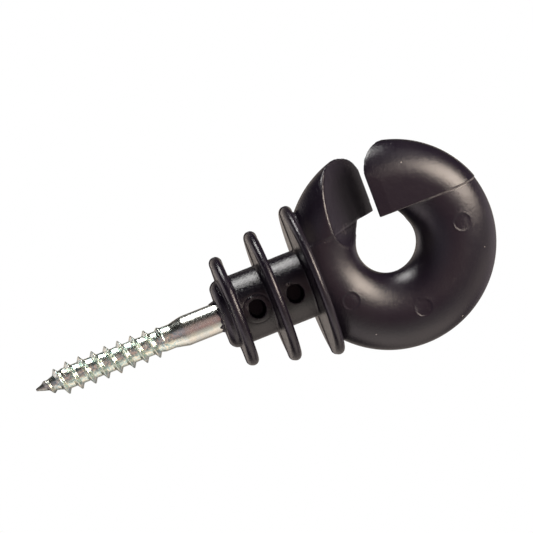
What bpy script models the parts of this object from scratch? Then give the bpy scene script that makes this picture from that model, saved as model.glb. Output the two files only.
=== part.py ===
"""Ring insulator for an electric fence rope: a plastic moulding on a wood screw.

Frame: the origin is on the neck's end face, which seats on the post, straight
below the screw's axis. +X runs along the screw away from the post, +Z is up
towards the rope slot, and the mould parts on the plane Y = 0. All lengths are
in metres, and all heights below are measured from the screw's axis.
"""
import math

import bmesh
import bpy
from mathutils import Vector

# Height of the screw's axis over the origin, which puts the origin on the end
# face's plastic, halfway between the screw and the face's rounded corner.
SCREW_AXIS_Z = 0.0045
# Gap left between the moulding and the screw that it grips.
FIT_GAP = 0.0003
# A surface that only has to reach past another goes this much further.
OVERSHOOT = 0.003

# Wood screw, along X, from its point to its gripped end.
TIP_X = -0.0384
TIP_RADIUS = 0.00024
POINT_END_X = -0.0325
ROOT_RADIUS = 0.00216
ROOT_END_X = -0.0130
BLANK_RADIUS = 0.00241
BLANK_START_X = -0.0121
CONE_START_X = -0.0101
CONE_END_X = -0.0075
SHANK_RADIUS = 0.0030
SCREW_END_X = 0.0155
END_CHAMFER = 0.0005

# Right-hand thread: a ridge on the core, with a crest on top (+Z) at THREAD_TOP_X.
THREAD_PITCH = 0.0027
THREAD_TOP_X = -0.01498
THREAD_START_X = -0.0368
THREAD_END_X = -0.0118
THREAD_CREST_RADIUS = 0.00310
THREAD_BASE_WIDTH = 0.00135
THREAD_CREST_WIDTH = 0.00014
# The ridge's foot lies this deep in the core, and its ends sink just below it.
THREAD_FOOT_DEPTH = 0.0003
THREAD_END_DEPTH = 0.00008
# The ridge takes these shares of a pitch to grow and to run out.
THREAD_GROWTH_TURNS = 0.9
THREAD_RUNOUT_TURNS = 0.55
THREAD_STEPS = 20

# Gripped end of the screw: two ring grooves and a pair of flats.
GROOVE_RADIUS = 0.0024
GROOVES_X = ((0.0040, 0.0058), (0.0078, 0.0096))
FLATS_START_X = 0.0110
FLATS_HALF_WIDTH = 0.0023

# Neck, and its three sheds as (place along X, radius).
NECK_RADIUS = 0.00688
NECK_END_PROFILE = ((0.0014, 0.00688), (0.0009, 0.0067), (0.0003, 0.00618), (0.0, 0.0056))
NECK_ROOT_RADIUS = 0.0056
SHED_THICKNESS = 0.0023
SHEDS = ((0.00288, 0.0113), (0.01101, 0.0135), (0.01926, 0.01553))

# Blind oval pin holes in the neck, front and back, between the sheds.
PIN_HOLES_X = (0.00698, 0.01489)
PIN_HOLES_Z = -0.0002
PIN_HOLE_WIDTH = 0.0033
PIN_HOLE_HEIGHT = 0.0038
PIN_HOLE_DEPTH = 0.0030

# Ring that the rope runs through; the eye is a little off the ring's centre.
RING_CENTRE = (0.0365, 0.00097)
RING_OUTER_RADIUS = 0.02107
RING_HALF_DEPTH = 0.0067
EYE_RADIUS = 0.00605
EYE_OFFSET = (-0.00077, 0.0006)

# Lobes: the ring's upper part, filled in above a flat underside.
LOBE_CENTRE = (0.03697, 0.00022)
LOBE_OUTER_RADIUS = 0.02095
LOBE_ROUNDING = 0.0075
LOBE_UNDERSIDE_Z = 0.00735
# On the screw's side the eye's wall runs straight up from its shoulder to the lobe.
EYE_SHOULDER_X = 0.0316
EYE_SHOULDER_Z = 0.0056
# The plain ring runs this far up into the lobes, and the slot cuts this far below.
RING_LAP = 0.00015
SLOT_LAP = 0.0002

# Slot between the lobes, seen from above: half of its outline, from the left
# lobe's front edge to its nose at the back. The other half is this one turned
# by half a turn about the slot's centre.
SLOT_CENTRE_X = 0.03595
SLOT_HALF_OUTLINE = (
    (-0.01016, -0.0067),
    (-0.00775, -0.00305),
    (-0.0056, -0.0001),
    (-0.0034, 0.0024),
    (-0.0012, 0.00445),
    (-0.0002, 0.0055),
    (0.0003, 0.0061),
    (0.00045, 0.0064),
    (-0.00295, 0.0068),
)

ROUND_STEPS = 56
SCREW_STEPS = 32
TUBE_STEPS = 20
LOBE_STEPS = 16
RIM_STEPS = 8
PIN_HOLE_STEPS = 20
# Edges that turn by more than this are sharp.
SMOOTH_ANGLE = math.radians(35)
MERGE_DISTANCE = 0.000001


def new_collection(name):
    """Make a collection in the scene."""
    collection = bpy.data.collections.new(name)
    bpy.context.scene.collection.children.link(collection)
    return collection


def new_object(name, mesh, collection):
    """Put a mesh in the scene as an object."""
    obj = bpy.data.objects.new(name, mesh)
    collection.objects.link(obj)
    return obj


def make_cutter(obj):
    """Keep an object for Boolean use only."""
    obj.hide_render = True
    obj.display_type = "WIRE"
    return obj


def turned(name, profile, steps, collection):
    """Turn (x, radius) points, listed from +X to -X, about the screw's axis."""
    mesh = bpy.data.meshes.new(name)
    vertices = [(radius, 0.0, x) for x, radius in profile]
    edges = [(i, i + 1) for i in range(len(profile) - 1)]
    mesh.from_pydata(vertices, edges, [])
    obj = new_object(name, mesh, collection)
    obj.rotation_euler = (0.0, math.pi / 2, 0.0)
    screw = obj.modifiers.new("turn", "SCREW")
    screw.axis = "Z"
    screw.steps = steps
    screw.render_steps = steps
    screw.use_merge_vertices = True
    screw.merge_threshold = MERGE_DISTANCE
    screw.use_smooth_shade = True
    return obj


def extruded(name, outline, depth, collection):
    """Extrude a closed (x, y) outline by depth to each side of its plane."""
    curve = bpy.data.curves.new(name, "CURVE")
    curve.dimensions = "2D"
    curve.fill_mode = "BOTH"
    curve.extrude = depth
    spline = curve.splines.new("POLY")
    spline.points.add(len(outline) - 1)
    for point, (x, y) in zip(spline.points, outline):
        point.co = (x, y, 0.0, 1.0)
    spline.use_cyclic_u = True
    guide = new_object(name + "_outline", curve, collection)
    depsgraph = bpy.context.evaluated_depsgraph_get()
    mesh = bpy.data.meshes.new_from_object(guide.evaluated_get(depsgraph))
    bpy.data.objects.remove(guide)
    bm = bmesh.new()
    bm.from_mesh(mesh)
    bmesh.ops.remove_doubles(bm, verts=bm.verts, dist=MERGE_DISTANCE)
    bmesh.ops.recalc_face_normals(bm, faces=bm.faces)
    bm.to_mesh(mesh)
    bm.free()
    return new_object(name, mesh, collection)


def box(name, low, high, collection):
    """Make a box between two corners."""
    mesh = bpy.data.meshes.new(name)
    bm = bmesh.new()
    bmesh.ops.create_cube(bm, size=1.0)
    for vertex in bm.verts:
        vertex.co = Vector([(a + b) / 2 + (b - a) * c for a, b, c in zip(low, high, vertex.co)])
    bm.to_mesh(mesh)
    bm.free()
    return new_object(name, mesh, collection)


def boolean(obj, tool, operation):
    """Join a tool to an object, or cut the object with it."""
    modifier = obj.modifiers.new(operation.lower() + "_" + tool.name, "BOOLEAN")
    modifier.operation = operation
    modifier.object = tool
    modifier.solver = "EXACT"
    return modifier


def arc(centre_x, centre_radius, size_x, size_radius, first, last, steps):
    """Points of an elliptical arc in a turned profile, angles in degrees."""
    points = []
    for i in range(steps + 1):
        angle = math.radians(first + (last - first) * i / steps)
        x = centre_x + size_x * math.sin(angle)
        points.append((x, centre_radius + size_radius * math.cos(angle)))
    return points


def finish(obj, name, colour, roughness, metallic):
    """Shade an object smooth up to its sharp edges and give it a material."""
    obj.data.shade_smooth()
    obj.data.set_sharp_from_angle(angle=SMOOTH_ANGLE)
    material = bpy.data.materials.new(name)
    material.use_nodes = True
    shader = material.node_tree.nodes["Principled BSDF"]
    shader.inputs["Base Color"].default_value = (*colour, 1.0)
    shader.inputs["Roughness"].default_value = roughness
    shader.inputs["Metallic"].default_value = metallic
    obj.data.materials.append(material)


# ---- wood screw ----


def grip_profile(gap):
    """Gripped end of the screw from its end to the neck's end face."""
    radius = SHANK_RADIUS + gap
    end_x = SCREW_END_X + gap
    points = [(end_x, 0.0), (end_x, radius - END_CHAMFER), (end_x - END_CHAMFER, radius)]
    for near_x, far_x in reversed(GROOVES_X):
        points.append((far_x - gap, radius))
        points.append((far_x - gap, GROOVE_RADIUS + gap))
        points.append((near_x + gap, GROOVE_RADIUS + gap))
        points.append((near_x + gap, radius))
    return points


def cut_flats(obj, gap, collection):
    """Cut the pair of flats that stop the gripped end from turning."""
    far = SHANK_RADIUS + OVERSHOOT
    start_x = FLATS_START_X + gap
    for side in (-1, 1):
        inner = side * (FLATS_HALF_WIDTH + gap)
        outer = side * far
        low = (start_x, -far, min(inner, outer))
        high = (SCREW_END_X + OVERSHOOT, far, max(inner, outer))
        name = obj.name + ("_flat_low" if side < 0 else "_flat_high")
        boolean(obj, make_cutter(box(name, low, high, collection)), "DIFFERENCE")


def core_radius(x):
    """Radius of the screw's core along its point and threaded length."""
    if x >= POINT_END_X:
        return ROOT_RADIUS
    share = (x - TIP_X) / (POINT_END_X - TIP_X)
    return TIP_RADIUS + (ROOT_RADIUS - TIP_RADIUS) * max(share, 0.0)


def thread_height(x):
    """Crest height over the core: it grows along the point and runs out."""
    full = THREAD_CREST_RADIUS - ROOT_RADIUS
    growth = (x - THREAD_START_X) / (THREAD_GROWTH_TURNS * THREAD_PITCH)
    runout = (THREAD_END_X - x) / (THREAD_RUNOUT_TURNS * THREAD_PITCH)
    share = max(0.0, min(1.0, growth, runout))
    return full * share - THREAD_END_DEPTH * (1.0 - share)


def thread_section(x):
    """Ridge's outline where its middle is at x, as (x, radius) points."""
    foot = max(core_radius(x) - THREAD_FOOT_DEPTH, TIP_RADIUS / 2)
    crest = core_radius(x) + thread_height(x)
    half_foot = THREAD_BASE_WIDTH / 2
    half_crest = THREAD_CREST_WIDTH / 2
    return (
        (x - half_foot, foot),
        (x - half_crest, crest),
        (x + half_crest, crest),
        (x + half_foot, foot),
    )


def make_thread(collection):
    """Loft the thread's ridge, whose height and foot change along it."""
    bm = bmesh.new()
    steps = int((THREAD_END_X - THREAD_START_X) / THREAD_PITCH * THREAD_STEPS)
    rings = []
    for i in range(steps + 1):
        middle_x = THREAD_START_X + THREAD_PITCH * i / THREAD_STEPS
        angle = 2 * math.pi * (middle_x - THREAD_TOP_X) / THREAD_PITCH
        ring = []
        for x, radius in thread_section(middle_x):
            ring.append(bm.verts.new((x, -radius * math.sin(angle), radius * math.cos(angle))))
        rings.append(ring)
    for ring, following in zip(rings, rings[1:]):
        for i in range(len(ring)):
            j = (i + 1) % len(ring)
            bm.faces.new((ring[i], ring[j], following[j], following[i]))
    bm.faces.new(list(reversed(rings[0])))
    bm.faces.new(rings[-1])
    bmesh.ops.triangulate(bm, faces=bm.faces)
    bmesh.ops.recalc_face_normals(bm, faces=bm.faces)
    mesh = bpy.data.meshes.new("thread")
    bm.to_mesh(mesh)
    bm.free()
    return make_cutter(new_object("thread", mesh, collection))


def make_screw(parts, cutters):
    """Zinc-plated wood screw, from its gripped end to its point."""
    profile = grip_profile(0.0) + [
        (CONE_END_X, SHANK_RADIUS),
        (CONE_START_X, BLANK_RADIUS),
        (BLANK_START_X, BLANK_RADIUS),
        (ROOT_END_X, ROOT_RADIUS),
        (POINT_END_X, ROOT_RADIUS),
        (TIP_X, TIP_RADIUS),
        (TIP_X, 0.0),
    ]
    screw = turned("wood_screw", profile, SCREW_STEPS, parts)
    boolean(screw, make_thread(cutters), "UNION")
    cut_flats(screw, 0.0, cutters)
    finish(screw, "zinc_plated_steel", (0.62, 0.62, 0.6), 0.3, 1.0)
    return screw


# ---- moulding ----


def neck_profile():
    """Neck with its three sheds, from inside the ring to the end face."""
    root_x = RING_CENTRE[0] - (RING_OUTER_RADIUS + EYE_RADIUS) / 2
    half = SHED_THICKNESS / 2
    last_face_x = SHEDS[-1][0] + half
    points = [(root_x, 0.0), (root_x, NECK_ROOT_RADIUS), (last_face_x, NECK_ROOT_RADIUS)]
    for x, radius in reversed(SHEDS):
        if x + half < last_face_x:
            points.append((x + half, NECK_RADIUS))
        points += arc(x, radius - half, half, half, 90, -90, RIM_STEPS)
        points.append((x - half, NECK_RADIUS))
    points += NECK_END_PROFILE
    points.append((0.0, 0.0))
    return points


def make_ring(collection):
    """Plain lower ring: a torus whose eye sits a little off its centre."""
    middle = (RING_OUTER_RADIUS + EYE_RADIUS) / 2
    thickness = (RING_OUTER_RADIUS - EYE_RADIUS) / 2
    bpy.ops.mesh.primitive_torus_add(
        major_radius=middle,
        minor_radius=thickness,
        major_segments=ROUND_STEPS,
        minor_segments=TUBE_STEPS,
        rotation=(math.pi / 2, 0.0, 0.0),
        location=(RING_CENTRE[0], 0.0, RING_CENTRE[1]),
    )
    ring = bpy.context.object
    ring.name = "ring_form"
    for owner in list(ring.users_collection):
        owner.objects.unlink(ring)
    collection.objects.link(ring)
    for vertex in ring.data.vertices:
        from_centre = math.hypot(vertex.co.x, vertex.co.y)
        share = (RING_OUTER_RADIUS - from_centre) / (2 * thickness)
        vertex.co.x += share * EYE_OFFSET[0]
        vertex.co.y += share * EYE_OFFSET[1]
        vertex.co.z *= RING_HALF_DEPTH / thickness
    return make_cutter(ring)


def make_lobes(collection):
    """Rounded disc that gives the filled upper part of the ring."""
    flat = LOBE_OUTER_RADIUS - LOBE_ROUNDING
    profile = [(RING_HALF_DEPTH, 0.0)]
    profile += arc(0.0, flat, RING_HALF_DEPTH, LOBE_ROUNDING, 90, -90, LOBE_STEPS)
    profile.append((-RING_HALF_DEPTH, 0.0))
    lobes = turned("lobe_form", profile, ROUND_STEPS, collection)
    lobes.rotation_euler = (math.pi / 2, 0.0, 0.0)
    lobes.location = (LOBE_CENTRE[0], 0.0, LOBE_CENTRE[1])
    return make_cutter(lobes)


def slot_outline():
    """Whole outline of the slot from above, open past both faces of the ring."""
    beyond = RING_HALF_DEPTH + OVERSHOOT
    (first_x, first_y), (second_x, second_y) = SLOT_HALF_OUTLINE[:2]
    slope = (second_x - first_x) / (second_y - first_y)
    half = [(first_x - slope * (beyond + first_y), -beyond)]
    half += list(SLOT_HALF_OUTLINE)
    half.append((SLOT_HALF_OUTLINE[-1][0], beyond))
    return half + [(-x, -y) for x, y in half]


def make_moulding(parts, cutters):
    """One-piece plastic moulding: neck, sheds and slotted ring."""
    body = turned("insulator_body", neck_profile(), ROUND_STEPS, parts)
    shed_x = SHEDS[-1][0]
    far = RING_CENTRE[0] + RING_OUTER_RADIUS + OVERSHOOT
    side = RING_HALF_DEPTH + OVERSHOOT
    top = RING_CENTRE[1] + RING_OUTER_RADIUS + OVERSHOOT
    ring_top = LOBE_UNDERSIDE_Z + RING_LAP

    ring = make_ring(cutters)
    ring_zone = box("ring_zone", (shed_x, -side, -top), (far, side, ring_top), cutters)
    boolean(ring, make_cutter(ring_zone), "INTERSECT")
    lobes = make_lobes(cutters)
    lobe_zone = box("lobe_zone", (shed_x, -side, LOBE_UNDERSIDE_Z), (far, side, top), cutters)
    boolean(lobes, make_cutter(lobe_zone), "INTERSECT")
    boolean(body, ring, "UNION")
    boolean(body, lobes, "UNION")

    slot = make_cutter(extruded("slot", slot_outline(), top, cutters))
    slot.location = (SLOT_CENTRE_X, 0.0, LOBE_UNDERSIDE_Z - SLOT_LAP + top)
    boolean(body, slot, "DIFFERENCE")

    low = (EYE_SHOULDER_X, -side, EYE_SHOULDER_Z)
    high = (SLOT_CENTRE_X, side, LOBE_UNDERSIDE_Z - SLOT_LAP / 2)
    boolean(body, make_cutter(box("eye_shoulder", low, high, cutters)), "DIFFERENCE")

    bore_profile = grip_profile(FIT_GAP)
    bore_profile += [(-OVERSHOOT, SHANK_RADIUS + FIT_GAP), (-OVERSHOOT, 0.0)]
    bore = make_cutter(turned("bore", bore_profile, SCREW_STEPS, cutters))
    cut_flats(bore, FIT_GAP, cutters)
    boolean(body, bore, "DIFFERENCE")

    for x in PIN_HOLES_X:
        for direction in (-1, 1):
            boolean(body, make_pin_hole(x, direction, cutters), "DIFFERENCE")
    finish(body, "black_plastic", (0.02, 0.018, 0.018), 0.42, 0.0)
    return body


def make_pin_hole(x, direction, collection):
    """Blind oval hole in the neck's front (-1) or back (1)."""
    bm = bmesh.new()
    depth = PIN_HOLE_DEPTH + OVERSHOOT
    bmesh.ops.create_cone(
        bm, cap_ends=True, segments=PIN_HOLE_STEPS, radius1=0.5, radius2=0.5, depth=depth
    )
    for vertex in bm.verts:
        vertex.co.x *= PIN_HOLE_WIDTH
        vertex.co.y *= PIN_HOLE_HEIGHT
    mesh = bpy.data.meshes.new("pin_hole")
    bm.to_mesh(mesh)
    bm.free()
    side = "front" if direction < 0 else "back"
    hole = new_object(f"pin_hole_{side}_{PIN_HOLES_X.index(x) + 1}", mesh, collection)
    hole.rotation_euler = (math.pi / 2, 0.0, 0.0)
    middle = NECK_RADIUS - PIN_HOLE_DEPTH + depth / 2
    hole.location = (x, direction * middle, PIN_HOLES_Z)
    return make_cutter(hole)


def main():
    """Clear the scene and build the insulator."""
    for obj in list(bpy.data.objects):
        bpy.data.objects.remove(obj)
    parts = new_collection("fence_insulator")
    cutters = new_collection("cutters")
    make_screw(parts, cutters)
    make_moulding(parts, cutters)
    axis = new_object("screw_axis", None, cutters)
    axis.location = (0.0, 0.0, SCREW_AXIS_Z)
    for obj in list(parts.objects) + list(cutters.objects):
        if obj != axis:
            obj.parent = axis


main()
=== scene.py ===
"""Looks of the electric fence ring insulator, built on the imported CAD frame.

Shapes are made in millimetres from the point where the screw's axis meets the
neck's end face, then scaled and moved into the frame. +X runs along the screw
away from the post, +Z is up towards the rope slot, and the mould parts on Y = 0.
"""
import math

import bmesh
import bpy
import numpy as np
from mathutils import Matrix, Vector, noise


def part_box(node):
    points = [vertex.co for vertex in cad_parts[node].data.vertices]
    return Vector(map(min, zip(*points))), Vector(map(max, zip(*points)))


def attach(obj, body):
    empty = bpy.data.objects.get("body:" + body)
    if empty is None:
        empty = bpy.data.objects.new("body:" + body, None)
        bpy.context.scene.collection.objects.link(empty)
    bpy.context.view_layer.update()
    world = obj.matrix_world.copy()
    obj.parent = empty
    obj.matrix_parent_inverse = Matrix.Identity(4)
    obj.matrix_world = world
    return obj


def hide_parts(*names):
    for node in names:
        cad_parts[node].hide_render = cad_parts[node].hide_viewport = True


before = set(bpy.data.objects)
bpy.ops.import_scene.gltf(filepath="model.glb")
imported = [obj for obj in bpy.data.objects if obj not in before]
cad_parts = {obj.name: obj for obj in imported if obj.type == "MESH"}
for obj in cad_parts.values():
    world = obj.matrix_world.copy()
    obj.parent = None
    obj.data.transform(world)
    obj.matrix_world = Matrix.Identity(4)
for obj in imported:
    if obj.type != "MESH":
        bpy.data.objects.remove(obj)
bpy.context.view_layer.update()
body_low, body_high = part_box("insulator_body")
screw_low, screw_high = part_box("wood_screw")

MM = 0.001
SEAT = Vector((body_low.x, 0.0, (screw_low.z + screw_high.z) / 2))

# ---- sizes in mm: neck and sheds ----

NECK_RADIUS = 6.88
NECK_ROOT_RADIUS = 5.6
NECK_ROOT_X = 23.0
NECK_STEPS = 128
# Rounded end of the neck as (x, radius), from its side to its end face.
NECK_END = ((1.5, NECK_RADIUS), (0.95, 6.75), (0.4, 6.3), (0.08, 5.8), (0.0, 5.4))
BORE_RADIUS = 3.02
BORE_END_X = 15.7

# Sheds as (middle x, radius); each half tapers away from the parting plane.
SHEDS = ((2.90, 11.30), (11.03, 13.50), (19.28, 15.53))
SHED_HALF_THICKNESS = 1.2
SHED_INNER_RADIUS = 5.6
SHED_DRAFT = 0.020
SHED_STEPS = 160
SHED_EDGE_STEPS = 16

PIN_HOLES_X = (6.98, 14.89)
PIN_HOLE_Z = -0.2
PIN_HOLE_SIZE = (3.3, 3.8)
PIN_HOLE_DEPTH = 3.4
PIN_HOLE_STEPS = 48

# ---- ring, lobes and slot ----

RING_CENTRE = (36.50, 0.97)
RING_OUTER_RADIUS = 21.09
RING_HALF_DEPTH = 6.7
RING_STEPS = 224
TUBE_STEPS = 72
EYE_RADIUS = 6.05
EYE_OFFSET = (-0.77, 0.60)

LOBE_CENTRE = (36.97, 0.22)
LOBE_OUTER_RADIUS = 20.97
LOBE_ROUNDING = 7.3
LOBE_UNDERSIDE_Z = 7.35
LOBE_STEPS = 224
LOBE_EDGE_STEPS = 48

SLOT_CENTRE_X = 35.95
SLOT_LEAN = 0.004
# One wall of the slot as (x, y) from the slot's centre; the other is its half turn.
SLOT_WALL_GUIDE = (
    (-10.16, -6.70),
    (-7.75, -3.05),
    (-5.60, -0.10),
    (-3.40, 2.40),
    (-1.20, 4.45),
    (-0.20, 5.50),
    (0.36, 6.20),
    (0.45, 6.42),
)
SLOT_WALL_STEPS = 8
SLOT_NOSE_BACK = (-2.95, 6.80)
SLOT_FLOOR_Z = 7.15
EYE_SHOULDER = (32.1, 5.6)

# The ring's face is cut back to meet each slot wall and curves forward below it.
FOOT_DROP = 5.0
FOOT_CURVE = 0.14
FOOT_STEPS = 12
FOOT_END_X = -2.0
FOOT_BEYOND = 12

# Reach of the boxes that bound the ring and the lobes, and of the cutting tools.
ZONE_END_X = 70
ZONE_SIDE = 12
ZONE_HEIGHT = 30
OVERLAP = 0.1
BEYOND = 3

VOXEL = 0.17
EDGE_ROUNDS = 4
MOULDING_TRIANGLES = 190000

# ---- the mould's small marks ----

# Ejector marks on the front crest as (x, z).
MARKS = ((24.5, -5.6), (37.3, -12.1), (50.2, 0.75))
MARK_RADIUS = 1.62
MARK_DEPTH = 0.10
MARK_EDGE = 0.10
MARK_LIP_OFFSET = 0.22
MARK_LIP_WIDTH = 0.16
MARK_LIP_HEIGHT = 0.03
# The marks are pressed only where the surface lies in front of this and faces forward.
FACE_Y = -3
FACE_NORMAL_Y = -0.5
# Witness ring pressed round the first pin hole.
HOLE_RING_RADIUS = 2.85
HOLE_RING_DEPTH = 0.08
HOLE_RING_WIDTH = 0.14
HOLE_RING_ZONE_X = (3.5, 10)
NECK_FRONT_Y = -4
# Burr left on the upper edge of each pin hole.
BURR_OFFSET = (0.5, 2.05)
BURR_HEIGHT = 0.10
BURR_SIZE = 0.55
BURR_FLATNESS = 1.6
# Line between the lobes and the ring, and how far the lobes stand proud of it.
SEAM_START_X = SHEDS[2][0] + 1.3
SEAM_DEPTH = 0.09
SEAM_HALF_WIDTH = 0.14
SEAM_REACH = 1
LOBE_STEP = 0.09
LOBE_STEP_RISE = 0.2
WAVE_HEIGHT = 0.02
WAVE_LENGTH = 7.0

# Places that are smoothed further, and how many rounds each one gets.
LEDGE_X = (-9.9, -2.6)
LEDGE_Z = (3.0, SLOT_FLOOR_Z + 0.9)
LEDGE_DEPTH = 3.4
LEDGE_ROUNDS = 30
RIDGE_REACH = 0.6
RIDGE_DEPTH = -2.6
RIDGE_ROUNDS = 14
ROOT_REACH = 0.7
ROOT_Z = (6, 14.2)
ROOT_ROUNDS = 14

# Bead on the parting plane; it is wider on the sheds and absent in bore and slot.
PARTING_RADIUS = 0.055
SHED_PARTING_SCALE = 2.6
SHED_PARTING_END_X = SHEDS[2][0] + 1.5
PARTING_MIN_POINTS = 12
BORE_MARGIN = 0.4
SLOT_REACH = 9
RIM_MARGIN = 0.5

# Plastic that crept out along the screw, as (angle up from the front, reach, spread).
FLASH = (
    (88, 1.25, 9),
    (74, 0.45, 7),
    (22, 0.35, 10),
    (-12, 0.25, 8),
    (-34, 0.75, 8),
    (-58, 0.5, 9),
    (150, 0.6, 12),
)
FLASH_STEPS = 180
FLASH_SECTION = 7
FLASH_REACH = 0.16
FLASH_ROOT = 0.25
FLASH_RADIUS = 2.98
FLASH_THICKNESS = 0.24
FLASH_SWELL = 0.6
# Unevenness of the flash's reach and thickness as (height, scale, layer of the noise).
REACH_NOISE = (0.10, 6, 1)
THICKNESS_NOISE = (0.14, 5, 9)

# ---- screw ----

TIP_X = -38.4
TIP_RADIUS = 0.24
TIP_BULGE = 0.04
POINT_END_X = -32.5
ROOT_RADIUS = 2.16
BLANK_RADIUS = 2.41
SHANK_RADIUS = 3.0
GRIP_RADIUS = 2.4
SCREW_END_X = 15.5
# The screw without its thread as (x, radius), with two grip grooves inside the neck.
CORE = (
    (TIP_X, TIP_RADIUS),
    (POINT_END_X, ROOT_RADIUS),
    (-13.0, ROOT_RADIUS),
    (-12.1, BLANK_RADIUS),
    (-10.1, BLANK_RADIUS),
    (-7.5, SHANK_RADIUS),
    (4.0, SHANK_RADIUS),
    (4.0, GRIP_RADIUS),
    (5.8, GRIP_RADIUS),
    (5.8, SHANK_RADIUS),
    (7.8, SHANK_RADIUS),
    (7.8, GRIP_RADIUS),
    (9.6, GRIP_RADIUS),
    (9.6, SHANK_RADIUS),
    (15.0, SHANK_RADIUS),
    (SCREW_END_X, 2.5),
)
THREAD_PITCH = 2.7
THREAD_TOP_X = -14.98
THREAD_START_X = -37.6
THREAD_GROWTH = 3.6
THREAD_END_X = -11.8
THREAD_RUNOUT = 1.5
CREST_RADIUS = 3.10
CREST_HALF_WIDTH = 0.07
BASE_HALF_WIDTH = 0.66
FLANK_POWER = 1.15
# Rings of points along the screw: fine on the thread, then the cone, then the shank.
SCREW_AROUND = 112
FINE_STEP = 0.072
FINE_END_X = -11.0
CONE_STEP = 0.2
CONE_END_X = -6.0
SHANK_RINGS_X = (-6.0, -4.0, -2.0, 0.0, 2.0, 3.99, 4.01, 5.79, 5.81, 7.79, 7.81, 9.59, 9.61, 12.0, 15.0)
# Marks of the rolling dies as (height, scale), faded in from the tip.
ROLLING_MARKS = ((0.022, 1.7), (0.012, 5.0))
ROLLING_END_X = -6.5
ROLLING_GROWTH = 3
ROLLING_STRETCH = 0.9
ROLLING_RADIUS = 2.2

# ---- colours and surface detail ----

PLASTIC_DARK = (0.0074, 0.0051, 0.0110)
PLASTIC_LIGHT = (0.0108, 0.0082, 0.0136)
PLASTIC_GRAIN = (0.040, 0.035, 0.035)
PLASTIC_DUST = (0.42, 0.39, 0.36)
PLASTIC_IOR = 1.5
# Pale colour of the scuffs, also used for the painted highlights on the seam and the pin holes' burrs.
SCUFF_AND_HIGHLIGHT = (0.16, 0.150, 0.145)
# Painted shade inside the pin holes: its colour, and how far it reaches into them.
HOLE_PAINTED_SHADE = (0.009, 0.0065, 0.0115)
HOLE_PAINTED_SHADE_REACH = 0.62
HOLE_PAINTED_SHADE_STOP = 0.25
# Painted highlight on the seam, a pale line where the lobes' lower edge catches the light: its height above
# the lobes' underside and its half widths.
SEAM_HIGHLIGHT_RISE = 0.06
SEAM_HIGHLIGHT_WIDTH = (0.24, 0.08)
SEAM_HIGHLIGHT_X = (30.0, 34.5)
SEAM_HIGHLIGHT = 0.55
# Paler places as (centre in mm, half size in mm, strength): the first is a scuffed patch by the slot's foot,
# the other four are painted highlights on the burrs at the pin holes' upper and left edges.
SCUFFS_AND_HOLE_HIGHLIGHTS = (
    ((30.0, -3.0, 7.3), (2.6, 3.6, 1.3), 0.16),
    # Painted highlights on the burrs at the pin holes' upper and left edges.
    ((6.5, -6.6, 2.0), (0.75, 0.8, 0.40), 0.80),
    ((5.2, -6.6, 0.9), (0.30, 0.8, 0.9), 0.45),
    ((14.3, -6.6, 2.0), (0.75, 0.8, 0.40), 0.80),
    ((13.2, -6.6, 2.4), (0.35, 0.8, 0.16), 0.60),
)

ZINC_COOL = (0.63, 0.66, 0.63)
ZINC_WARM = (0.72, 0.70, 0.63)
TINT_BLUE = (0.50, 0.76, 0.76)
TINT_YELLOW = (0.96, 0.91, 0.74)
ZINC_DARK = (0.30, 0.31, 0.29)
POINT_STEEL = (0.25, 0.24, 0.21)
# Colour of the painted shade on the upper side of the screw's cone.
CONE_PAINTED_SHADE = (0.15, 0.15, 0.135)
# Where the tint, the lumps and the dull point start and are full, along X.
TINT_X = (-6.5, -11.5)
LUMPS_X = (-10.0, -11.8)
DULL_POINT_X = (-33.5, -36.2)
# Painted shade on the upper side of the screw's cone, where its slope reflects the dark room beside the top
# light, as (centre, half size).
CONE_SHADE_PLACE = ((-8.9, -1.3, 2.5), (1.5, 2.3, 1.5))

# ---- light and camera ----

FLOOR_SIZE = 20.0
FLOOR_GAP = 0.0002
# Soft patches of light from the room as (direction, outer angle, colour).
ROOM_BASE = (0.015, 0.015, 0.015)
ROOM_PATCH_INNER = 4
ROOM_PATCHES = (
    ((0.00, 0.00, -1.00), 38, (1.00, 0.88, 0.80)),
    ((-0.53, -0.31, -0.79), 36, (0.85, 0.76, 0.74)),
    ((0.53, -0.31, -0.79), 36, (0.62, 0.54, 0.48)),
    ((0.00, -0.66, -0.75), 34, (0.52, 0.51, 0.45)),
    ((0.00, -0.93, -0.37), 34, (0.16, 0.08, 0.08)),
    ((-0.91, -0.16, -0.37), 36, (1.00, 0.84, 0.94)),
    ((0.91, -0.16, -0.37), 36, (0.46, 0.42, 0.36)),
    ((0.80, 0.46, -0.37), 36, (0.54, 0.47, 0.48)),
    ((0.00, 0.85, -0.53), 34, (0.34, 0.30, 0.27)),
    ((-0.10, 0.99, 0.04), 11, (1.05, 0.92, 0.80)),
    ((0.30, 0.94, -0.08), 16, (0.50, 0.44, 0.36)),
    ((0.00, -0.99, 0.14), 36, (0.31, 0.21, 0.21)),
    ((-0.64, -0.76, 0.14), 36, (0.34, 0.31, 0.36)),
    ((0.64, -0.76, 0.14), 36, (1.05, 0.92, 0.86)),
    ((-0.86, 0.50, 0.14), 36, (1.00, 0.90, 0.94)),
    ((-0.34, 0.93, 0.14), 36, (0.37, 0.32, 0.29)),
    ((0.70, -0.40, 0.59), 36, (1.00, 0.96, 0.92)),
)
# Soft lights as (name, direction, distance and size in metres, watts, colour).
LIGHTS = (
    ("key", (0.78, -0.50, 0.25), 0.50, (0.36, 0.26), 4.0, (1.0, 0.86, 0.73)),
    ("top", (0.01, 0.14, 0.98), 0.45, (0.17, 0.25), 1.60, (1.0, 0.99, 0.97)),
)
# The camera's turn about the view axes in degrees, its distance and its offset in mm.
VIEW_TILT = 8.08426
VIEW_TURN = 4.38928
VIEW_ROLL = 21.06305
VIEW_DISTANCE = 420.0
VIEW_OFFSET = (9.0645, 9.8447)
LENS = 145.21
SENSOR_WIDTH = 36.0
CLIP = (0.01, 50.0)


# ---- helpers for curves and arrays ----


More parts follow.
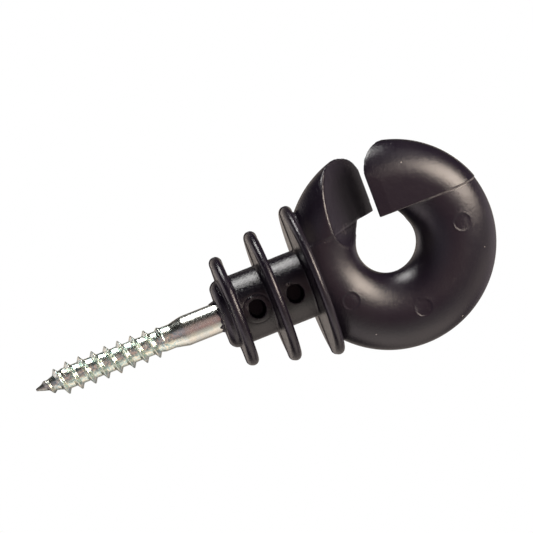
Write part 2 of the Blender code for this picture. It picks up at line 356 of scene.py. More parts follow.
def smooth_curve(guide, steps):
    """Catmull-Rom curve through (x, y) guide points."""
    guide = np.array(guide)
    first, last = 2 * guide[0] - guide[1], 2 * guide[-1] - guide[-2]
    padded = np.vstack([first, guide, last])
    points = []
    for before, start, end, after in zip(padded, padded[1:], padded[2:], padded[3:]):
        bend = 2 * before - 5 * start + 4 * end - after
        twist = 3 * start - before - 3 * end + after
        for share in np.arange(steps) / steps:
            curve = 2 * start + (end - before) * share + bend * share**2 + twist * share**3
            points.append(tuple(curve / 2))
    return points + [tuple(guide[-1])]


def half_turn(steps):
    """Angles from a quarter turn forward to a quarter turn back."""
    return [math.radians(90 - 180 * i / steps) for i in range(steps + 1)]


def smooth_step(low, high, values):
    """0 below low, 1 above high and smooth between."""
    share = np.clip((values - low) / (high - low), 0, 1)
    return share * share * (3 - 2 * share)


def within(values, span):
    """True where a value lies between the span's two ends."""
    return (values > span[0]) & (values < span[1])


SLOT_WALL = smooth_curve(SLOT_WALL_GUIDE, SLOT_WALL_STEPS)


# ---- mesh helpers ----


def link(name, data):
    """Make an object from its data and put it in the scene."""
    obj = bpy.data.objects.new(name, data)
    bpy.context.scene.collection.objects.link(obj)
    return obj


def mesh_object(name, vertices, faces):
    """Make an object from points and faces, facing outwards."""
    mesh = bpy.data.meshes.new(name)
    mesh.from_pydata([tuple(v) for v in vertices], [], faces)
    mesh.validate()
    bm = bmesh.new()
    bm.from_mesh(mesh)
    bmesh.ops.recalc_face_normals(bm, faces=bm.faces)
    bm.to_mesh(mesh)
    bm.free()
    return link(name, mesh)


def lathe(name, profile, steps, closed=False, about="X"):
    """Turn (along, radius) points about the X or the Y axis."""
    vertices = []
    rings = []
    for along, radius in profile:
        count = 1 if radius < 1e-6 else steps
        rings.append(list(range(len(vertices), len(vertices) + count)))
        for i in range(count):
            angle = 2 * math.pi * i / steps
            a, b = radius * math.cos(angle), radius * math.sin(angle)
            vertices.append((along, a, b) if about == "X" else (a, along, b))
    faces = []
    pairs = list(zip(rings, rings[1:]))
    if closed:
        pairs.append((rings[-1], rings[0]))
    for ring, following in pairs:
        for i in range(steps):
            j = (i + 1) % steps
            corners = [ring[i % len(ring)], ring[j % len(ring)]]
            corners += [following[j % len(following)], following[i % len(following)]]
            unique = list(dict.fromkeys(corners))
            if len(unique) > 2:
                faces.append(unique)
    return mesh_object(name, vertices, faces)


def box(name, low, high):
    """Make a box between two corners."""
    (x0, y0, z0), (x1, y1, z1) = low, high
    corners = [(x, y, z) for x in (x0, x1) for y in (y0, y1) for z in (z0, z1)]
    faces = [(0, 1, 3, 2), (4, 6, 7, 5), (0, 4, 5, 1), (2, 3, 7, 6), (0, 2, 6, 4), (1, 5, 7, 3)]
    return mesh_object(name, corners, faces)


def stack(name, layers):
    """Closed solid through layers that have the same number of points."""
    count = len(layers[0])
    vertices = [point for layer in layers for point in layer]
    faces = [tuple(range(count)), tuple(range(len(vertices) - count, len(vertices)))]
    for i in range(len(layers) - 1):
        for j in range(count):
            k = (j + 1) % count
            this, other = i * count, (i + 1) * count
            faces.append((this + j, this + k, other + k, other + j))
    return mesh_object(name, vertices, faces)


def settle(obj):
    """Replace an object's mesh by what its modifiers make of it."""
    depsgraph = bpy.context.evaluated_depsgraph_get()
    mesh = bpy.data.meshes.new_from_object(obj.evaluated_get(depsgraph))
    obj.modifiers.clear()
    obj.data = mesh
    return obj


def combine(obj, tool, operation):
    """Join a tool to an object or cut it away, and drop the tool."""
    modifier = obj.modifiers.new("combine", "BOOLEAN")
    modifier.operation = operation
    modifier.object = tool
    modifier.solver = "EXACT"
    settle(obj)
    bpy.data.objects.remove(tool)
    return obj


def merged(name, objects):
    """Gather several closed meshes in one object."""
    bm = bmesh.new()
    for obj in objects:
        bm.from_mesh(obj.data)
        bpy.data.objects.remove(obj)
    mesh = bpy.data.meshes.new(name)
    bm.to_mesh(mesh)
    bm.free()
    return link(name, mesh)


def points_of(obj):
    """An object's vertices as an array."""
    points = np.zeros(len(obj.data.vertices) * 3)
    obj.data.vertices.foreach_get("co", points)
    return points.reshape(-1, 3)


def set_points(obj, points):
    """Write an array back to an object's vertices."""
    obj.data.vertices.foreach_set("co", points.ravel())
    obj.data.update()


def place(obj):
    """Scale a finished piece, move it into the frame and let it ride there."""
    obj.data.transform(Matrix.Translation(SEAT) @ Matrix.Scale(MM, 4))
    obj.data.shade_smooth()
    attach(obj, "root")


# ---- moulding ----


def neck():
    """Turned neck with its bore and its blind pin holes."""
    profile = [(NECK_ROOT_X, 0.0), (NECK_ROOT_X, NECK_ROOT_RADIUS)]
    profile += [(SHEDS[2][0], NECK_ROOT_RADIUS), (SHEDS[2][0], NECK_RADIUS), *NECK_END]
    profile += [(0.0, BORE_RADIUS), (BORE_END_X, BORE_RADIUS), (BORE_END_X, 0.0)]
    obj = lathe("neck", profile, NECK_STEPS)
    width, height = PIN_HOLE_SIZE
    oval = Matrix.Diagonal((width, 1, height, 1))
    for x in PIN_HOLES_X:
        for side in (-1, 1):
            inner = side * (NECK_RADIUS - PIN_HOLE_DEPTH)
            outer = side * (NECK_RADIUS + BEYOND)
            rings = [(inner, 0.0), (inner, 0.5), (outer, 0.5), (outer, 0.0)]
            hole = lathe("hole", rings, PIN_HOLE_STEPS, about="Y")
            hole.data.transform(Matrix.Translation((x, 0, PIN_HOLE_Z)) @ oval)
            combine(obj, hole, "DIFFERENCE")
    return obj


def shed(x, radius):
    """One shed: a round-edged disc that thins away from the parting plane."""
    half = SHED_HALF_THICKNESS
    profile = [(half, SHED_INNER_RADIUS)]
    for angle in half_turn(SHED_EDGE_STEPS):
        profile.append((half * math.sin(angle), radius - half + half * math.cos(angle)))
    profile.append((-half, SHED_INNER_RADIUS))
    obj = lathe("shed", profile, SHED_STEPS, closed=True)
    points = points_of(obj)
    points[:, 0] *= 1 - SHED_DRAFT * np.abs(points[:, 1])
    points[:, 0] += x
    set_points(obj, points)
    return obj


def ring():
    """Lower ring: a torus whose eye sits a little off its centre, with its slot cut."""
    tube_centre = (RING_OUTER_RADIUS + EYE_RADIUS) / 2
    tube_half = (RING_OUTER_RADIUS - EYE_RADIUS) / 2
    vertices, faces = [], []
    for i in range(RING_STEPS):
        turn = 2 * math.pi * i / RING_STEPS
        for j in range(TUBE_STEPS):
            angle = 2 * math.pi * j / TUBE_STEPS
            radius = tube_centre + tube_half * math.cos(angle)
            share = (RING_OUTER_RADIUS - radius) / (2 * tube_half)
            x = RING_CENTRE[0] + radius * math.cos(turn) + share * EYE_OFFSET[0]
            z = RING_CENTRE[1] + radius * math.sin(turn) + share * EYE_OFFSET[1]
            vertices.append((x, RING_HALF_DEPTH * math.sin(angle), z))
            this, other = i * TUBE_STEPS, (i + 1) % RING_STEPS * TUBE_STEPS
            k = (j + 1) % TUBE_STEPS
            faces.append((this + j, other + j, other + k, this + k))
    obj = mesh_object("ring", vertices, faces)
    low = (SHEDS[2][0], -ZONE_SIDE, -ZONE_HEIGHT)
    high = (ZONE_END_X, ZONE_SIDE, LOBE_UNDERSIDE_Z + OVERLAP)
    combine(obj, box("zone", low, high), "INTERSECT")
    low = (EYE_SHOULDER[0], -ZONE_SIDE, EYE_SHOULDER[1])
    high = (SLOT_CENTRE_X, ZONE_SIDE, SLOT_FLOOR_Z + OVERLAP)
    combine(obj, box("shoulder", low, high), "DIFFERENCE")
    for side in (1, -1):
        combine(obj, foot_tool(side), "DIFFERENCE")
    return combine(obj, slot_tool(), "DIFFERENCE")


def lobes():
    """Rounded disc that fills the upper ring, split by the slot."""
    flat = LOBE_OUTER_RADIUS - LOBE_ROUNDING
    profile = [(RING_HALF_DEPTH, 0.0)]
    for angle in half_turn(LOBE_EDGE_STEPS):
        along = RING_HALF_DEPTH * math.sin(angle)
        profile.append((along, flat + LOBE_ROUNDING * math.cos(angle)))
    profile.append((-RING_HALF_DEPTH, 0.0))
    obj = lathe("lobes", profile, LOBE_STEPS, about="Y")
    obj.data.transform(Matrix.Translation((LOBE_CENTRE[0], 0, LOBE_CENTRE[1])))
    low = (SHEDS[2][0], -ZONE_SIDE, LOBE_UNDERSIDE_Z)
    high = (ZONE_END_X, ZONE_SIDE, ZONE_HEIGHT)
    combine(obj, box("zone", low, high), "INTERSECT")
    return combine(obj, slot_tool(), "DIFFERENCE")


def wall_mouth(beyond):
    """The slot wall's front run carried straight on, to a place in front of the ring."""
    (first_x, first_y), (second_x, second_y) = SLOT_WALL[:2]
    slope = (second_x - first_x) / (second_y - first_y)
    return first_x - slope * (beyond + first_y), -beyond


def slot_tool():
    """Oblique slot, open past both faces of the ring, leaning along X with height."""
    beyond = RING_HALF_DEPTH + BEYOND
    half = [wall_mouth(beyond), *SLOT_WALL, SLOT_NOSE_BACK, (SLOT_NOSE_BACK[0], beyond)]
    outline = half + [(-x, -y) for x, y in half]
    layers = []
    for z in (SLOT_FLOOR_Z, ZONE_HEIGHT):
        middle = SLOT_CENTRE_X + SLOT_LEAN * (z - SLOT_FLOOR_Z)
        layers.append([(middle + x, y, z) for x, y in outline])
    return stack("slot", layers)


def foot_tool(side):
    """Curved cut that lets the ring's face run into one slot wall's foot."""
    outline = [wall_mouth(RING_HALF_DEPTH + FOOT_BEYOND)]
    outline += [(x, y) for x, y in SLOT_WALL if x < FOOT_END_X]
    outline += [(FOOT_END_X, outline[-1][1]), (FOOT_END_X, outline[0][1])]
    layers = []
    for i in range(FOOT_STEPS + 1):
        down = FOOT_DROP * i / FOOT_STEPS
        height = SLOT_FLOOR_Z - down if i else SLOT_FLOOR_Z + 2 * OVERLAP
        forward = FOOT_CURVE * down**2
        layers.append([(SLOT_CENTRE_X + side * x, side * (y - forward), height) for x, y in outline])
    return stack("foot", layers)


def detail(obj):
    """Press the mould's small marks into the moulding's surface."""
    points = points_of(obj)
    x, y, z = points.T
    normals = np.zeros(points.size)
    obj.data.vertices.foreach_get("normal", normals)
    normals = normals.reshape(-1, 3)
    offset = np.zeros(len(points))
    face = (y < FACE_Y) & (normals[:, 1] < FACE_NORMAL_Y)
    for mark_x, mark_z in MARKS:
        distance = np.hypot(x - mark_x, z - mark_z)
        edge = smooth_step(MARK_RADIUS - MARK_EDGE, MARK_RADIUS + MARK_EDGE, distance)
        lip = np.exp(-(((distance - MARK_RADIUS - MARK_LIP_OFFSET) / MARK_LIP_WIDTH) ** 2))
        offset += face * (MARK_LIP_HEIGHT * lip - MARK_DEPTH * (1 - edge))
    distance = np.hypot(x - PIN_HOLES_X[0], z - PIN_HOLE_Z)
    groove = np.exp(-(((distance - HOLE_RING_RADIUS) / HOLE_RING_WIDTH) ** 2))
    offset -= (y < NECK_FRONT_Y) * within(x, HOLE_RING_ZONE_X) * HOLE_RING_DEPTH * groove
    for hole_x in PIN_HOLES_X:
        burr = np.hypot(x - hole_x + BURR_OFFSET[0], (z - BURR_OFFSET[1]) * BURR_FLATNESS)
        offset += BURR_HEIGHT * (y < NECK_FRONT_Y) * np.exp(-((burr / BURR_SIZE) ** 2))
    height = z - LOBE_UNDERSIDE_Z
    seam = (x > SEAM_START_X) & (height > -SEAM_REACH)
    offset -= seam * SEAM_DEPTH * np.exp(-((height / SEAM_HALF_WIDTH) ** 2))
    offset += (x > SEAM_START_X) * LOBE_STEP * smooth_step(0.0, LOBE_STEP_RISE, height)
    waves = np.array([noise.noise(Vector(p) / WAVE_LENGTH) for p in points])
    offset += WAVE_HEIGHT * waves
    set_points(obj, points + normals * offset[:, None])


def soften(obj):
    """Round off the slot's ledges and front ridges and the roots beside the sheds."""
    x, y, z = points_of(obj).T
    beyond_slot = x > SLOT_CENTRE_X
    turned = np.where(beyond_slot, SLOT_CENTRE_X - x, x - SLOT_CENTRE_X)
    depth = np.where(beyond_slot, -y, y)
    ledge = within(z, LEDGE_Z) & within(turned, LEDGE_X) & (depth < LEDGE_DEPTH)
    wall_x, wall_y = np.array(SLOT_WALL).T
    ridge = np.abs(turned - np.interp(depth, wall_y, wall_x)) < RIDGE_REACH
    ridge &= (z > LOBE_UNDERSIDE_Z) & (depth < RIDGE_DEPTH)
    root = (np.abs(x - SHEDS[2][0] - SHED_HALF_THICKNESS) < ROOT_REACH) & within(z, ROOT_Z)
    axes = {"use_axis_x": True, "use_axis_y": True, "use_axis_z": True}
    bm = bmesh.new()
    bm.from_mesh(obj.data)
    for chosen, rounds in ((ledge, LEDGE_ROUNDS), (ridge, RIDGE_ROUNDS), (root, ROOT_ROUNDS)):
        bm.verts.ensure_lookup_table()
        vertices = [bm.verts[i] for i in np.flatnonzero(chosen)]
        for _ in range(rounds):
            bmesh.ops.smooth_vert(bm, verts=vertices, factor=0.5, **axes)
    bm.to_mesh(obj.data)
    bm.free()


def make_moulding():
    """One-piece moulding with small radii on all its edges."""
    parts = [neck(), ring(), lobes()]
    parts += [shed(x, radius) for x, radius in SHEDS]
    obj = merged("moulding", parts)
    remesh = obj.modifiers.new("remesh", "REMESH")
    remesh.mode = "VOXEL"
    remesh.voxel_size = VOXEL
    smooth = obj.modifiers.new("smooth", "SMOOTH")
    smooth.factor = 0.5
    smooth.iterations = EDGE_ROUNDS
    settle(obj)
    soften(obj)
    detail(obj)
    count = sum(len(p.vertices) - 2 for p in obj.data.polygons)
    if count > MOULDING_TRIANGLES:
        decimate = obj.modifiers.new("decimate", "DECIMATE")
        decimate.ratio = MOULDING_TRIANGLES / count
        settle(obj)
    return obj


# ---- parting line and flash ----


def in_slot(point):
    """True on the slot's walls and floor, inside the lobes' round outline."""
    from_centre = math.hypot(point.x - LOBE_CENTRE[0], point.z - LOBE_CENTRE[1])
    beside = abs(point.x - SLOT_CENTRE_X) < SLOT_REACH
    return beside and point.z > EYE_SHOULDER[1] and from_centre < LOBE_OUTER_RADIUS - RIM_MARGIN


def parting_chains(body):
    """Runs of points where Y = 0 cuts the body's surface, each with whether it closes."""
    bm = bmesh.new()
    bm.from_mesh(body.data)
    geometry = list(bm.verts) + list(bm.edges) + list(bm.faces)
    cut = bmesh.ops.bisect_plane(bm, geom=geometry, plane_co=(0, 0, 0), plane_no=(0, 1, 0))
    links = {}
    for edge in cut["geom_cut"]:
        if isinstance(edge, bmesh.types.BMEdge):
            a, b = edge.verts
            links.setdefault(a, []).append(b)
            links.setdefault(b, []).append(a)
    left = dict.fromkeys(v for v in links if not in_slot(v.co))
    ends = [v for v in left if sum(w in left for w in links[v]) == 1]
    chains = []
    while left:
        start = next((v for v in ends if v in left), None) or next(iter(left))
        chain = [start]
        del left[start]
        while True:
            onward = [v for v in links[chain[-1]] if v in left]
            if not onward:
                break
            chain.append(onward[0])
            del left[onward[0]]
        chains.append(([v.co.copy() for v in chain], chain[0] in links[chain[-1]]))
    bm.free()
    return chains


def make_parting_line(body):
    """Thin bead where the two halves of the mould meet, on Y = 0."""
    curve = bpy.data.curves.new("parting_line", "CURVE")
    curve.dimensions = "3D"
    curve.bevel_depth = PARTING_RADIUS
    curve.bevel_resolution = 1
    for points, closes in parting_chains(body):
        in_bore = all(math.hypot(p.y, p.z) < BORE_RADIUS + BORE_MARGIN for p in points)
        if len(points) < PARTING_MIN_POINTS or in_bore:
            continue
        spline = curve.splines.new("POLY")
        spline.points.add(len(points) - 1)
        for target, point in zip(spline.points, points):
            target.co = (*point, 1.0)
            target.radius = SHED_PARTING_SCALE if point.x < SHED_PARTING_END_X else 1.0
        spline.use_cyclic_u = closes
    guide = link("guide", curve)
    depsgraph = bpy.context.evaluated_depsgraph_get()
    mesh = bpy.data.meshes.new_from_object(guide.evaluated_get(depsgraph))
    bpy.data.objects.remove(guide)
    return link("parting_line", mesh)


def unevenness(angle, height, scale, layer):
    """Smooth random height round a circle."""
    spot = Vector((math.cos(angle) * scale, math.sin(angle) * scale, layer))
    return height * noise.noise(spot)


def make_flash():
    """Ragged lip of plastic round the screw where it enters the neck."""
    vertices, faces = [], []
    for i in range(FLASH_STEPS):
        degrees = 360 * i / FLASH_STEPS
        angle = math.radians(degrees)
        reach = FLASH_REACH + unevenness(angle, *REACH_NOISE)
        for middle, length, spread in FLASH:
            away = (degrees - middle + 180) % 360 - 180
            reach += length * math.exp(-((away / spread) ** 2))
        thick = FLASH_THICKNESS + unevenness(angle, *THICKNESS_NOISE)
        for j in range(FLASH_SECTION):
            turn = math.pi * j / (FLASH_SECTION - 1)
            x = FLASH_ROOT - (reach + FLASH_ROOT) * math.sin(turn)
            swell = 1 + FLASH_SWELL * max(0.0, -math.cos(turn))
            radius = FLASH_RADIUS + thick * (1 - math.cos(turn)) / 2 * swell
            vertices.append((x, -radius * math.cos(angle), radius * math.sin(angle)))
            this, other = i * FLASH_SECTION, (i + 1) % FLASH_STEPS * FLASH_SECTION
            k = (j + 1) % FLASH_SECTION
            faces.append((this + j, other + j, other + k, this + k))
    return mesh_object("neck_flash", vertices, faces)


# ---- screw ----


def rolling_marks(x, angle):
    """Small unevenness that the thread rolling leaves."""
    spot = Vector((x * ROLLING_STRETCH, ROLLING_RADIUS * math.cos(angle), ROLLING_RADIUS * math.sin(angle)))
    return sum(height * noise.noise(spot * scale) for height, scale in ROLLING_MARKS)


def make_screw():
    """Rolled wood screw, as a radius over its length and angle."""
    around = SCREW_AROUND
    xs = np.concatenate(
        [
            np.arange(TIP_X, FINE_END_X, FINE_STEP),
            np.arange(FINE_END_X, CONE_END_X, CONE_STEP),
            (*SHANK_RINGS_X, SCREW_END_X),
        ]
    )
    core_x, core_r = np.array(CORE).T
    core = np.interp(xs, core_x, core_r)[:, None]
    along = xs[:, None]
    angles = 2 * np.pi * np.arange(around) / around
    turn = (along - THREAD_TOP_X) / THREAD_PITCH - angles[None, :] / (2 * np.pi)
    away = np.abs(turn - np.round(turn)) * THREAD_PITCH
    growth = np.clip((along - THREAD_START_X) / THREAD_GROWTH, 0, 1)
    runout = np.clip((THREAD_END_X - along) / THREAD_RUNOUT, 0, 1)
    height = (CREST_RADIUS - ROOT_RADIUS) * np.minimum(growth, runout)
    flank = np.clip((BASE_HALF_WIDTH - away) / (BASE_HALF_WIDTH - CREST_HALF_WIDTH), 0, 1)
    radius = core + height * flank**FLANK_POWER
    for i, x in enumerate(xs):
        if x < ROLLING_END_X:
            share = min(max((x - TIP_X) / ROLLING_GROWTH, 0), 1)
            radius[i] += share * np.array([rolling_marks(x, a) for a in angles])
    y = -radius * np.sin(angles)
    z = radius * np.cos(angles)
    grid = np.stack([np.repeat(along, around, 1), y, z], -1).reshape(-1, 3)
    vertices = [tuple(p) for p in grid] + [(TIP_X - TIP_BULGE, 0, 0), (SCREW_END_X, 0, 0)]
    faces = []
    rows = len(xs)
    for i in range(rows - 1):
        this, other = i * around, (i + 1) * around
        for j in range(around):
            k = (j + 1) % around
            faces.append((this + j, this + k, other + k, other + j))
    last, tip, end = (rows - 1) * around, rows * around, rows * around + 1
    for j in range(around):
        k = (j + 1) % around
        faces.append((tip, k, j))
        faces.append((end, last + j, last + k))
    return mesh_object("screw", vertices, faces)


# ---- materials ----


class Nodes:
    """Short calls for building one node tree."""

    def __init__(self, tree):
        self.tree = tree

    def add(self, kind, **values):
        """Add a node; a value sets a property or an input, by name or as i and its index."""
        node = self.tree.nodes.new("ShaderNode" + kind)
        for key, value in values.items():
            if hasattr(node, key):
                setattr(node, key, value)
                continue
            by_index = key[0] == "i" and key[1:].isdigit()
            socket = node.inputs[int(key[1:]) if by_index else key.replace("_", " ")]
            if isinstance(value, bpy.types.NodeSocket):
                self.tree.links.new(value, socket)
            else:
                socket.default_value = value
        return node

    def math(self, operation, a, b=0.0):
        """One arithmetic step."""
        return self.add("Math", operation=operation, i0=a, i1=b).outputs[0]

    def span(self, value, low, high, to_low=0.0, to_high=1.0):
        """Smooth change from to_low to to_high while the value goes from low to high."""
        node = self.add("MapRange", interpolation_type="SMOOTHSTEP", clamp=True, Value=value)
        for name, number in (("From Min", low), ("From Max", high), ("To Min", to_low), ("To Max", to_high)):
            node.inputs[name].default_value = number
        return node.outputs["Result"]

    def mix(self, factor, a, b):
        """Colour between a and b."""
        a, b = (c if isinstance(c, bpy.types.NodeSocket) else (*c, 1.0) for c in (a, b))
        return self.add("Mix", data_type="RGBA", i0=factor, i6=a, i7=b).outputs[2]

    def noise(self, vector, scale, detail=3.0, roughness=0.5):
        """Soft noise, from 0 to 1."""
        return self.add("TexNoise", Vector=vector, Scale=scale, Detail=detail, Roughness=roughness).outputs[0]


def new_material(name):
    """A material with an empty node tree and its helper."""
    material = bpy.data.materials.new(name)
    material.use_nodes = True
    material.node_tree.nodes.clear()
    return material, Nodes(material.node_tree)


def along_x(n, split, ends, to_low=0.0, to_high=1.0):
    """Smooth change between two places along the screw, given in mm."""
    low, high = (end * MM + SEAT.x for end in ends)
    return n.span(split[0], low, high, to_low, to_high)


def near(n, split, centre, size):
    """1 inside an ellipsoid about a point given in mm, fading to 0 at its skin."""
    total = 0.0
    for axis in range(3):
        middle = (Vector(centre) * MM + SEAT)[axis]
        away = n.math("DIVIDE", n.math("SUBTRACT", split[axis], middle), size[axis] * MM)
        total = n.math("ADD", n.math("MULTIPLY", away, away), total)
    return n.span(total, 1.0, 0.6)


def seam_painted_highlight(n, split, medium):
    """Painted highlight: a pale, broken line along the joint between the lobes and the ring, where the lobes'
    lower edge catches the light.
    """
    seam_z = (LOBE_UNDERSIDE_Z + SEAM_HIGHLIGHT_RISE) * MM + SEAT.z
    outer, inner = SEAM_HIGHLIGHT_WIDTH
    away = n.math("ABSOLUTE", n.math("SUBTRACT", split[2], seam_z))
    seam = n.span(away, outer * MM, inner * MM)
    seam = n.math("MULTIPLY", seam, along_x(n, split, SEAM_HIGHLIGHT_X, 0.04, 1.0))
    seam = n.math("MULTIPLY", seam, n.span(medium, 0.35, 0.6, 0.25, 1.0))
    return n.math("MULTIPLY", seam, SEAM_HIGHLIGHT)


def hole_painted_shade_mask(n, split):
    """Mask of the painted shade in the pin holes: 1 deep inside them and 0 outside them."""
    width, height = PIN_HOLE_SIZE
    reach = (width * HOLE_PAINTED_SHADE_REACH, PIN_HOLE_DEPTH - HOLE_PAINTED_SHADE_STOP, height * HOLE_PAINTED_SHADE_REACH)
    hole = 0.0
    for x in PIN_HOLES_X:
        for side in (-1, 1):
            centre = (x, side * (NECK_RADIUS - PIN_HOLE_DEPTH), PIN_HOLE_Z)
            hole = n.math("MAXIMUM", near(n, split, centre, reach), hole)
    return hole


def make_plastic():
    """Black semi-gloss plastic with mould grain, dust specks and faint scuffs, with painted highlights on the
    seam and the pin holes' burrs and painted shade inside the pin holes.
    """
    material, n = new_material("black_plastic")
    spot = n.add("TexCoord").outputs["Object"]
    split = n.add("SeparateXYZ", Vector=spot).outputs
    broad = n.noise(spot, 90.0, 4.0)
    medium = n.noise(spot, 900.0, 4.0, 0.6)
    grain = n.noise(spot, 3600.0, 3.0, 0.6)
    colour = n.mix(n.span(broad, 0.3, 0.7), PLASTIC_DARK, PLASTIC_LIGHT)
    colour = n.mix(n.span(grain, 0.62, 0.78, 0.0, 0.3), colour, PLASTIC_GRAIN)
    # Painted highlight along the seam between the lobes and the ring.
    colour = n.mix(seam_painted_highlight(n, split, medium), colour, SCUFF_AND_HIGHLIGHT)
    # Scuffs, and painted highlights on the pin holes' burrs, in the pale scuff colour.
    for centre, size, share in SCUFFS_AND_HOLE_HIGHLIGHTS:
        scuff_or_highlight_breakup = n.span(medium, 0.42, 0.62, 0.0, share)
        colour = n.mix(n.math("MULTIPLY", near(n, split, centre, size), scuff_or_highlight_breakup), colour, SCUFF_AND_HIGHLIGHT)
    cells = n.add("TexVoronoi", feature="F1", Vector=spot, Scale=420.0)
    speck = n.span(cells.outputs["Distance"], 0.075, 0.045)
    speck = n.math("MULTIPLY", speck, n.span(n.noise(spot, 260.0, 2.0), 0.60, 0.66))
    colour = n.mix(speck, colour, PLASTIC_DUST)
    # Painted shade inside the pin holes: a flat dark colour and weaker reflection there.
    hole = hole_painted_shade_mask(n, split)
    colour = n.mix(hole, colour, HOLE_PAINTED_SHADE)
    roughness = n.math("ADD", n.span(medium, 0.3, 0.7, 0.16, 0.23), n.span(broad, 0.35, 0.65, -0.03, 0.03))
    fine_bump = n.add("Bump", Strength=0.7, Distance=0.00008, Height=grain)
    bump = n.add("Bump", Strength=0.5, Distance=0.00005, Height=medium, Normal=fine_bump.outputs[0])
    shader = n.add(
        "BsdfPrincipled",
        Base_Color=colour,
        Roughness=roughness,
        IOR=PLASTIC_IOR,
        Specular_IOR_Level=n.span(hole, 0.0, 1.0, 0.5, 0.1),
        Normal=bump.outputs[0],
    )
    n.add("OutputMaterial", i0=shader.outputs[0])
    return material


def make_zinc():
    """Bright zinc plating with a bluish and yellowish cast, a dull point, and painted shade on the upper side
    of the cone.
    """
    material, n = new_material("zinc_plating")
    spot = n.add("TexCoord").outputs["Object"]
    split = n.add("SeparateXYZ", Vector=spot).outputs
    cast = n.noise(spot, 700.0, 3.0, 0.6)
    patch = n.noise(spot, 1900.0, 3.0, 0.65)
    fine = n.noise(spot, 5200.0, 3.0, 0.6)
    threaded = along_x(n, split, TINT_X)
    point = along_x(n, split, DULL_POINT_X)
    colour = n.mix(n.span(cast, 0.38, 0.62), ZINC_COOL, ZINC_WARM)
    tint = n.mix(n.span(patch, 0.42, 0.60), TINT_BLUE, TINT_YELLOW)
    colour = n.mix(n.math("MULTIPLY", threaded, 0.75), colour, tint)
    dark = n.math("MULTIPLY", threaded, n.span(patch, 0.52, 0.36, 0.0, 0.5))
    colour = n.mix(dark, colour, ZINC_DARK)
    colour = n.mix(n.math("MULTIPLY", point, 0.75), colour, POINT_STEEL)
    # Painted shade on the cone's upper side, broken up by the patch noise.
    cone_shade = n.math("MULTIPLY", near(n, split, *CONE_SHADE_PLACE), n.span(patch, 0.35, 0.6, 0.9, 0.6))
    colour = n.mix(cone_shade, colour, CONE_PAINTED_SHADE)
    roughness = n.math("ADD", n.span(fine, 0.3, 0.7, 0.18, 0.31), n.math("MULTIPLY", point, 0.08))
    fine_bump = n.add("Bump", Strength=0.5, Distance=0.00005, Height=fine)
    lumps = along_x(n, split, LUMPS_X, 0.12, 0.7)
    bump = n.add("Bump", Strength=lumps, Distance=0.00012, Height=patch, Normal=fine_bump.outputs[0])
    shader = n.add(
        "BsdfPrincipled",
        Base_Color=colour,
        Metallic=1.0,
        Roughness=roughness,
        Normal=bump.outputs[0],
    )
    n.add("OutputMaterial", i0=shader.outputs[0])
    return material


# ---- build the pieces ----

plastic = make_plastic()
zinc = make_zinc()

moulding = make_moulding()
parting = make_parting_line(moulding)
flash = make_flash()
screw = make_screw()
for piece, slot_name, material in (
    (moulding, "black_plastic", plastic),
    (parting, "black_plastic", plastic),
    (flash, "black_plastic", plastic),
    (screw, "zinc_plated_steel", zinc),
):
    piece.data.materials.clear()
    piece.data.materials.append(material)
    place(piece)
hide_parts("insulator_body")
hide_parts("wood_screw")


# ---- floor, light and camera ----


def make_floor():
    """Plain white floor just under the object."""
    size = FLOOR_SIZE
    corners = [(-size, -size, 0), (size, -size, 0), (size, size, 0), (-size, size, 0)]
    floor = mesh_object("floor", corners, [(0, 1, 2, 3)])
    floor.location = (0, 0, body_low.z - FLOOR_GAP)
    material, n = new_material("floor")
    glow = n.add("Emission", i0=(1, 1, 1, 1), i1=1.0)
    n.add("OutputMaterial", i0=glow.outputs[0])
    floor.data.materials.append(material)
    floor.visible_diffuse = False
    floor.visible_glossy = False
    floor.visible_shadow = False


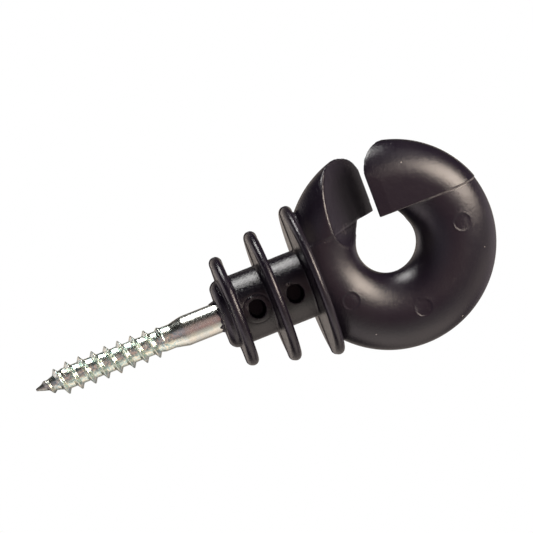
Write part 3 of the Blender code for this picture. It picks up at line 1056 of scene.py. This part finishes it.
def make_world():
    """Room light that differs by direction, and a white backdrop."""
    world = bpy.data.worlds.new("studio")
    world.use_nodes = True
    world.node_tree.nodes.clear()
    n = Nodes(world.node_tree)
    ray = n.add("TexCoord").outputs["Generated"]
    colour = n.add("RGB")
    colour.outputs[0].default_value = (*ROOM_BASE, 1)
    total = colour.outputs[0]
    inner = math.cos(math.radians(ROOM_PATCH_INNER))
    for axis, outer_angle, tint in ROOM_PATCHES:
        outer = math.cos(math.radians(outer_angle))
        towards = tuple(Vector(axis).normalized())
        dot = n.add("VectorMath", operation="DOT_PRODUCT", i0=ray, i1=towards).outputs["Value"]
        part = n.add("VectorMath", operation="SCALE", i0=tint, Scale=n.span(dot, outer, inner)).outputs[0]
        total = n.add("VectorMath", operation="ADD", i0=total, i1=part).outputs[0]
    room = n.add("Background", Color=total, Strength=1.0)
    backdrop = n.add("Background", Color=(1, 1, 1, 1), Strength=1.0)
    seen = n.add("LightPath").outputs["Is Camera Ray"]
    mix = n.add("MixShader", i0=seen, i1=room.outputs[0], i2=backdrop.outputs[0])
    n.add("OutputWorld", i0=mix.outputs[0])
    bpy.context.scene.world = world


def softbox(name, towards, distance, size, watts, colour):
    """Area light at a distance from the moulding's middle, facing it."""
    lamp = bpy.data.lights.new(name, "AREA")
    lamp.shape = "RECTANGLE"
    lamp.size, lamp.size_y = size
    lamp.energy = watts
    lamp.color = colour
    obj = link(name, lamp)
    away = Vector(towards).normalized()
    obj.location = (body_low + body_high) / 2 + away * distance
    obj.rotation_mode = "QUATERNION"
    obj.rotation_quaternion = away.to_track_quat("Z", "Y")
    obj.visible_camera = False


def make_camera():
    """Camera at the photograph's viewing angle."""
    turn = (
        Matrix.Rotation(math.radians(VIEW_ROLL), 3, "Z")
        @ Matrix.Rotation(math.radians(VIEW_TILT), 3, "X")
        @ Matrix.Rotation(math.radians(VIEW_TURN), 3, "Y")
    )
    upright = Matrix(((1, 0, 0), (0, 0, 1), (0, -1, 0)))
    axes = (turn @ upright).transposed()
    spot = axes @ Vector((*VIEW_OFFSET, VIEW_DISTANCE)) * MM + SEAT
    data = bpy.data.cameras.new("camera")
    data.lens = LENS
    data.sensor_width = SENSOR_WIDTH
    data.clip_start, data.clip_end = CLIP
    camera = link("camera", data)
    camera.matrix_world = Matrix.Translation(spot) @ axes.to_4x4()
    bpy.context.scene.camera = camera


make_floor()
make_world()
for light in LIGHTS:
    softbox(*light)
make_camera()
bpy.context.scene.view_settings.view_transform = "Standard"
